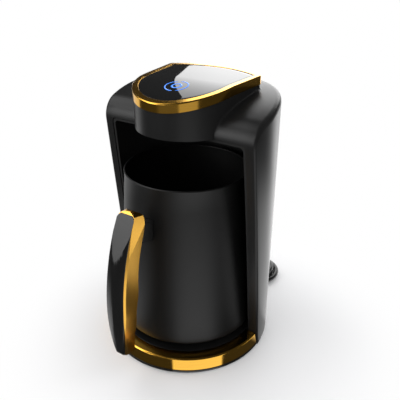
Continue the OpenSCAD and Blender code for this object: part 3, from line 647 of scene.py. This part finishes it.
# the head's trim: insets and drops of its section from the outline and the top
trim = {
    "high": 6.3, "ledge": 4.3, "bevel": 0.55, "lip": 2.4, "lipTop": 2.6, "lipLow": 3.6, "lipIn": 1.2,
    "wall": 1.4, "roof": 1.5, "foot": 0.2, "roll": 0.1, "turn": 0.06, "hold": 0.05, "flat": 0.4, "smooth": 30,
}
# the glass: (inset, drop) from its underside over its eased edge, and the rows that close over the middle
glass = {"section": [(4.5, 2.2), (4.4, 2.0), (4.4, 0.4), (4.46, 0.26), (4.65, 0.2)],
         "rows": 12, "backRows": 4, "smooth": 40}


def headRing(name, section, shrink=()):
    # section rows are (inset, drop below the top); shrink adds rows that close over the middle
    loops = [[(x, y, headTop(y) - drop) for x, y in headOutline(inset)] for inset, drop in section]
    middle = head["middle"]
    for part, drop in shrink:
        smaller = [(x * part, middle + (y - middle) * part) for x, y in headOutline(section[-1][0])]
        loops.append([(x, y, headTop(y) - drop) for x, y in smaller])
    return loftOf(name, loops)


def makeTrim():
    high, ledge, edge, flat = trim["high"], trim["ledge"], trim["bevel"], trim["flat"]
    roll, turn, hold = trim["roll"], trim["turn"], trim["hold"]
    section = [(trim["foot"], high), (0, high - trim["foot"]), (0, edge + flat), (0, edge + hold),
               (turn, edge - turn), (edge - roll, turn), (edge + hold, 0), (edge + flat, 0),
               (ledge - flat, 0), (ledge - roll, 0), (ledge, roll), (ledge, trim["lipTop"]),
               (ledge + trim["lip"], trim["lipTop"]), (ledge + trim["lip"], trim["lipLow"]),
               (ledge - trim["lipIn"], trim["lipLow"]), (ledge - trim["lipIn"], trim["roof"]),
               (trim["wall"], trim["roof"]), (trim["wall"], high), (trim["foot"], high)]
    return headRing("head_gilt_trim", section)


def makeGlass():
    low, high = glass["section"][0], glass["section"][-1]
    over = [(1 - i / glass["rows"], high[1]) for i in range(1, glass["rows"] + 1)]
    under = [(1 - i / glass["backRows"], low[1]) for i in range(1, glass["backRows"] + 1)]
    pane = headRing("touch_glass", glass["section"], over)
    joinOnto(pane, [headRing("touch_glass_back", [low], under)])
    mergeMesh(pane)
    return pane


headTrim = finishPiece(makeTrim(), finish["gilt_metal"], "housing", "gilt_metal", "head_trim")
smoothByAngle(headTrim, trim["smooth"], weighted=True)
touchGlass = finishPiece(makeGlass(), finish["touch_glass"], "housing", "touch_glass", "touch_panel")
smoothByAngle(touchGlass, glass["smooth"])
print("head made")


# soft foot between head and drum

headFoot = {"soft": 1.5, "wide": 2.2, "steps": 8, "inside": 0.02, "sunk": 0.03, "deep": 0.4, "gap": 0.05,
            "rollGap": 1, "profileSteps": 400, "smooth": 50}


def footLoop(before, spot, after, profile):
    # out from the head's wall over a soft curve onto the drum, and back underneath
    x, y = spot
    size = math.dist(before, after)
    out = ((after[1] - before[1]) / size, -(after[0] - before[0]) / size)
    upper = [i for i, point in enumerate(profile) if point[1] > drum["rollZ"] - headFoot["rollGap"]]
    at = min(upper, key=lambda i: abs(profile[i][0] - y))
    surface = profile[at][1]
    step = math.dist(profile[at], profile[at - 1])
    tangent = ((profile[at][0] - profile[at - 1][0]) / step, (surface - profile[at - 1][1]) / step)
    walk = headFoot["wide"] * out[1] * tangent[0]
    low = profile[int(min(max(at + walk / step, 0), len(profile) - 1))]
    wide, inside = headFoot["wide"], headFoot["inside"]
    top = (x - out[0] * inside, y - out[1] * inside, surface + headFoot["soft"])
    foot = (x + out[0] * wide, low[0] + tangent[1] * inside, low[1] - headFoot["sunk"])
    loop = []
    for k in range(headFoot["steps"] + 1):
        t = k / headFoot["steps"]
        loop.append(tuple(a * (1 - t) ** 2 + 2 * b * t * (1 - t) + c * t ** 2
                          for a, b, c in zip(top, (x, y, surface), foot)))
    deep = headFoot["deep"]
    return loop + [(x - out[0] * deep, y - out[1] * deep, min(surface, foot[2]) - deep), top]


def makeHeadFoot():
    profile = sideProfile(headFoot["profileSteps"])
    half = headOutline(head["wallInset"])
    half = half[:len(half) // 2 + 1]
    front = min(y for y, z in profile) + headFoot["gap"]
    loops = [footLoop(before, spot, after, profile) for before, spot, after in zip(half, half[1:], half[2:])
             if spot[1] >= front]
    loops += [[(-x, y, z) for x, y, z in loop] for loop in reversed(loops)]
    ends = [[loop[-2]] * len(loop) for loop in (loops[0], loops[-1])]  # each end is drawn into one point
    return smoothByAngle(loftOf("head_soft_foot", ends[:1] + loops + ends[1:]), headFoot["smooth"])


finishPiece(makeHeadFoot(), finish["shell_plastic"], "housing", "shell_plastic")
print("head foot made")


# pot: one lathed wall with a rolled rim

pot = {
    "foot": 54.2, "rim": 46.1, "bottom": 16.9, "top": 141.5, "round": 3.6, "wall": 1.2,
    "inside": [(5.0, 20.4), (2.4, 21.2), (1.5, 23.4)],  # in from the foot's radius, and height
    "insideRows": (15, 40, 65, 90, 110), "outsideRows": (0, 15, 35, 60, 85, 105, 115),
    "bead": 0.75, "beadOut": 0.2, "beadDrop": 0.8, "beadLow": 2,
    "beadTurn": (200, -20), "beadSteps": 10, "roundTurn": (-4, -90.1), "roundSteps": 7,
    "seat": 42.3, "seatTop": 18.8, "seatEase": 0.4, "smooth": 40,
}


def makePot():
    foot, rim, low, top, corner = pot["foot"], pot["rim"], pot["bottom"], pot["top"], pot["round"]
    slope = (foot - rim) / (top - low - corner)
    inset, height = pot["inside"][-1]
    outline = [(0.0, pot["inside"][0][1])] + [(foot - inward, z) for inward, z in pot["inside"]]
    outline += [(foot - inset - slope * up, height + up) for up in pot["insideRows"]]
    start, end = [math.radians(turn) for turn in pot["beadTurn"]]
    beadAt = (rim - pot["wall"] / 2 + pot["beadOut"], top - pot["beadDrop"])
    outline += arcPoints(beadAt, pot["bead"], start, end, pot["beadSteps"])
    outline += [(rim + slope * down, top - pot["beadLow"] - down) for down in pot["outsideRows"]]
    start, end = [math.radians(turn) for turn in pot["roundTurn"]]
    outline += arcPoints((foot - corner, low + corner), corner, start, end, pot["roundSteps"])
    seat, ease = pot["seat"], pot["seatEase"]
    outline += [(seat + ease, low), (seat, low + ease), (seat, pot["seatTop"]), (0.0, pot["seatTop"])]
    return smoothByAngle(lathe("pot_wall", outline), pot["smooth"])


finishPiece(makePot(), finish["pot_enamel"], "pot", "pot_enamel", "pot_body")
print("pot made")


# copies of rigid nodes with their edges eased

easing = {"angle": 32, "segments": 2, "smooth": 38, "dissolve": 1}  # what they share, angles in degrees
eased = {
    # with a flat at the top of each side, where the gilt shows brightest
    "handle_frame": {"width": 0.5, "smooth": 20, "body": "pot", "finish": "satin_gilt",
                     "cuts": [((8, -77, 102), (0.992, -0.099, 0.086)),
                              ((-8, -77, 102), (-0.992, -0.099, 0.086))]},
    "handle_grip": {"width": 0.35, "smooth": 15, "body": "pot"},
    "handle_bracket": {"width": 0.8, "body": "pot"},
    "base_trim": {"width": 0.45},
    "deck_plate": {"width": 0.3},
    "hot_plate": {"width": 0.4},
    "plate_seal": {"width": 0.4},
    "cord_gland": {"width": 0.5},
    "plug_body": {"width": 1.0},
    "cord_ties": {"width": 0.15},
    "floor_pan": {"width": 0.4},
    "rubber_feet": {"width": 0.25},
    "plug_pins": {"width": 0.5},
}


def easedCopy(name, look):
    obj = bpy.data.objects.new(name + "_eased", nodes[name].data.copy())
    bpy.context.collection.objects.link(obj)
    activate(obj)
    bpy.ops.object.mode_set(mode="EDIT")
    bpy.ops.mesh.select_all(action="SELECT")
    bpy.ops.mesh.remove_doubles(threshold=weld)
    for point, normal in look.get("cuts", ()):
        bpy.ops.mesh.select_all(action="SELECT")
        bpy.ops.mesh.bisect(plane_co=Vector(point) * mm, plane_no=normal, use_fill=True, clear_outer=True)
        bpy.ops.mesh.mark_sharp()
    bpy.ops.mesh.select_all(action="SELECT")
    bpy.ops.mesh.dissolve_limited(angle_limit=math.radians(easing["dissolve"]))
    bpy.ops.object.mode_set(mode="OBJECT")
    addModifier(obj, "BEVEL", width=look["width"] * mm, segments=easing["segments"], limit_method="ANGLE",
                angle_limit=math.radians(easing["angle"]), use_clamp_overlap=True)
    return smoothByAngle(obj, look.get("smooth", easing["smooth"]), weighted=True)


for name, look in eased.items():
    slotName = slotOf[name]
    surface = finish[look.get("finish", slotName)]
    finishPiece(easedCopy(name, look), surface, look.get("body", "housing"), slotName, name)
print("edges eased on", len(eased), "nodes")


# touch symbol under the glass: a ring and two arcs

symbol = {
    "x": 0.7, "y": -11.5, "ring": (2.7, 3.9), "arc": (7.6, 8.4), "spans": [(118, 283), (-62, 103)],
    "ringSteps": 48, "arcSteps": 40, "taper": 12, "tip": 0.25, "under": 0.17, "thick": 0.05,
    "glow": 0.85, "rough": 0.3, "spread": 700.0, "detail": 2.0,
    "light": [(0.02, 0.16, 0.75, 1), (0.05, 0.3, 1.0, 1)],
    "color": [(0.02, 0.1, 0.5, 1), (0.04, 0.2, 0.7, 1)],
}


def symbolStrip(name, radii, span, steps):
    (inner, outer), (start, end) = radii, span

    def spot(u, v):
        angle = math.radians(start + (end - start) * u)
        full = end - start >= 360
        taper = 1 if full else min(1, symbol["taper"] * min(u, 1 - u) + symbol["tip"])
        radius = (inner + outer) / 2 + (outer - inner) * (v - 0.5) * taper
        x, y = symbol["x"] + radius * math.cos(angle), symbol["y"] + radius * math.sin(angle)
        return (x, y, headTop(y) - symbol["under"])

    return sheetOf(name, steps, 2, spot)


def makeSymbol():
    material, tree, shader = newMaterial(
        "touch_light", {"Roughness": symbol["rough"], "Emission Strength": symbol["glow"]})
    spread = noise(tree, place(tree), symbol["spread"], symbol["detail"])
    link(tree, mixColor(tree, spread, *symbol["light"]), shader["Emission Color"])
    link(tree, mixColor(tree, spread, *symbol["color"]), shader["Base Color"])
    strips = [symbolStrip("touch_ring", symbol["ring"], (0, 360), symbol["ringSteps"])]
    strips += [symbolStrip("touch_arc", symbol["arc"], span, symbol["arcSteps"]) for span in symbol["spans"]]
    for strip in strips:
        addModifier(strip, "SOLIDIFY", thickness=symbol["thick"] * mm, offset=1)
    joinOnto(strips[0], strips[1:])
    finishPiece(strips[0], material, "housing", "guide_plastic")
    strips[0].name = "touch_symbol"


makeSymbol()
print("touch symbol made")


# floor, backdrop and lights

studio = {
    "floorColor": (0.87, 0.87, 0.88, 1), "floorRough": 0.6, "floorSize": 6.0,
    "fade": (0.085, 0.17), "fadeAt": (0.021, 0.002),
    "white": (1, 1, 1, 1), "world": 0.95, "worldGloss": 0.045, "reflectedFloorGlow": 0.045,
    # painted reflections: bands of light the floor gives off for reflected rays only, which polished metal
    # sees: from, to and softness in degrees round the object, strength and, where it is near or far only, the
    # distances over which it fades in or out
    "sectors": [
        {"from": 21, "to": 60, "soft": 1, "power": 0.4, "fade": (0.30, 0.45)},
        {"from": -150, "to": -78, "soft": 2, "power": 0.85},
        {"from": -80, "to": -25, "soft": 8, "power": 0.8, "fade": (0.25, 0.12)},
        {"from": 157, "to": 181, "soft": 5, "power": 2.6},
        {"from": -181, "to": -128, "soft": 6, "power": 1.6},
        {"from": 97, "to": 157, "soft": 4, "power": 1.5, "fade": (0.40, 0.30)},
        {"from": 97, "to": 120, "soft": 4, "power": -0.75, "fade": (0.24, 0.19)},
        {"from": -24, "to": 22, "soft": 6, "power": 0.08, "fade": (0.085, 0.11)},
    ],
    # and the bright patch in front on the right, between two straight edges: a point and a direction each
    "patch": {"edges": [((27.4, -59.8), (0.191, -0.982)), ((55.8, -34.9), (-0.997, 0.080))], "soft": 0.001,
              "power": 1.15, "fade": (0.45, 0.30)},
    "cards": [
        # shows in the glass
        {"at": (-0.401, 0.497, 0.681), "right": (0.7784, 0.6278, 0.0), "up": (0.3777, -0.4684, 0.7987),
         "edge": [(60, -600), (60, -335), (15, -300), (-110, 130), (800, 130), (800, -600)],
         "fade": (-90, 190), "power": (2.4, 3.3)},
        # low behind on the right, for the drum's side
        {"at": (0, 1.1, 0), "right": (-1, 0, 0), "up": (0, 0, 1),
         "edge": [(-600, 0), (600, 0), (600, 280), (-600, 280)],
         "fade": (-600, 100), "power": (0.7, 1.5)},
        # low in front on the left, for the flat of the grip
        {"at": (-0.636, -1.018, 0.5), "right": (0.848, -0.530, 0), "up": (0, 0, 1),
         "edge": [(-430, -270), (430, -270), (430, 260), (-430, 260)],
         "fade": (-430, 430), "power": (2.6, 2.6)},
        # high strip in front, for the gilt edges
        {"at": (-0.6, -1.04, 1.0), "right": (0.866, -0.5, 0), "up": (0, 0, 1),
         "edge": [(-1500, -90), (1500, -90), (1500, 90), (-1500, 90)],
         "fade": (-1500, 1500), "power": (1.6, 1.6)},
    ],
    "lamps": [
        {"name": "key_soft", "at": (-0.75, -0.25, 1.05), "aim": (0.0, 0.0, 0.1), "size": (0.9, 0.7),
         "power": 3.5},
        {"name": "front_soft", "at": (-0.75, -0.9, 0.55), "aim": (0.0, 0.0, 0.1), "size": (0.35, 0.9),
         "power": 1.5},
        {"name": "rear_soft", "at": (0.9, 0.75, 0.5), "aim": (0.0, 0.05, 0.1), "size": (0.5, 0.9),
         "power": 3.0, "glossy": False},
    ],
}


def fadeIn(value, middle, soft):
    return value.ramp(math.radians(middle - soft), math.radians(middle + soft))


def nearOrFar(distance, area):
    if "fade" not in area:
        return 1
    change = distance.ramp(*sorted(area["fade"]))
    return change if area["fade"][0] < area["fade"][1] else 1 - change


def emission(tree, color):
    return addNode(tree, "ShaderNodeEmission", 0, None, {"Color": color, "Strength": 1.0})


def mixShader(tree, factor, first, second):
    return addNode(tree, "ShaderNodeMixShader", 0, None, {0: factor, 1: first, 2: second})


def rayKinds(tree):
    return [addNode(tree, "ShaderNodeLightPath", kind) for kind in ("Is Camera Ray", "Is Glossy Ray")]


def floorGlow(tree, x, y):
    # painted reflection: the light the floor gives off for reflected rays only, which is what they see of it
    distance = (x * x + y * y).math("SQRT")
    angle = x.math("ARCTAN2", y * -1)
    glow = studio["reflectedFloorGlow"]
    for sector in studio["sectors"]:
        ended = fadeIn(angle, sector["to"], sector["soft"])
        part = fadeIn(angle, sector["from"], sector["soft"]) * (1 - ended)
        glow = glow + part * nearOrFar(distance, sector) * sector["power"]
    patch = studio["patch"]
    inside = nearOrFar(distance, patch)
    for (px, py), (dx, dy) in patch["edges"]:
        side = (y - py * mm) * dx - (x - px * mm) * dy
        inside = inside * side.ramp(-patch["soft"], patch["soft"])
    return glow + inside * patch["power"]


def makeFloor():
    deselect()
    bpy.ops.mesh.primitive_plane_add(size=studio["floorSize"], location=(0, 0, 0))
    floor = bpy.context.object
    floor.name = "studio_floor"
    material, tree, shader = newMaterial(
        "studio_floor", {"Roughness": studio["floorRough"], "Base Color": studio["floorColor"]})
    x, y = axes(tree, place(tree))[:2]
    fadeX, fadeY = x - studio["fadeAt"][0], y - studio["fadeAt"][1]
    away = (fadeX * fadeX + fadeY * fadeY).math("SQRT").ramp(*studio["fade"])
    lit = Shade(tree, tree.nodes["Principled BSDF"].outputs["BSDF"])
    seen, mirrored = rayKinds(tree)
    # for the camera the shadow fades to white
    shown = mixShader(tree, away * seen, lit, emission(tree, studio["white"]))
    shown = mixShader(tree, mirrored, shown, emission(tree, floorGlow(tree, x, y)))
    link(tree, shown, tree.nodes["Material Output"].inputs["Surface"])
    floor.data.materials.append(material)


def makeCard(name, card):
    # a white card outside the picture that only shows as a reflection
    deselect()
    bpy.ops.mesh.primitive_circle_add(vertices=len(card["edge"]), radius=1, fill_type="NGON")
    obj = bpy.context.object
    obj.name = name
    for vertex, (right, up) in zip(obj.data.vertices, card["edge"]):
        vertex.co = Vector(card["at"]) + (Vector(card["right"]) * right + Vector(card["up"]) * up) * mm
    material, tree = newMaterial(name, {})[:2]
    across = addNode(tree, "ShaderNodeVectorMath", "Value", {"operation": "DOT_PRODUCT"},
                     {0: place(tree), 1: card["right"]})
    centre = Vector(card["at"]).dot(Vector(card["right"]))
    (start, end), (low, high) = card["fade"], card["power"]
    power = (across - centre).ramp(start * mm, end * mm) * (high - low) + low
    link(tree, emission(tree, power), tree.nodes["Material Output"].inputs["Surface"])
    obj.data.materials.append(material)
    obj.visible_camera = False
    obj.visible_diffuse = False
    obj.visible_shadow = False


def makeWorld():
    # white where the camera sees it, softer as light and as reflection
    world = bpy.data.worlds.new("studio_world")
    bpy.context.scene.world = world
    world.use_nodes = True
    tree = world.node_tree
    back = tree.nodes["Background"].inputs
    seen, mirrored = rayKinds(tree)
    strength = seen * (1 - studio["world"]) + mirrored * (studio["worldGloss"] - studio["world"])
    link(tree, strength + studio["world"], back["Strength"])
    link(tree, studio["white"], back["Color"])


def makeLamps():
    for lamp in studio["lamps"]:
        deselect()
        bpy.ops.object.light_add(type="AREA", location=lamp["at"])
        light = bpy.context.object
        light.name = lamp["name"]
        light.data.shape = "RECTANGLE"
        light.data.size, light.data.size_y = lamp["size"]
        light.data.energy = lamp["power"]
        light.visible_glossy = lamp.get("glossy", True)
        turnTo(light, lamp["at"], lamp["aim"])


makeFloor()
for index, card in enumerate(studio["cards"]):
    makeCard(f"studio_card_{index}", card)
makeWorld()
makeLamps()
print("studio lit")
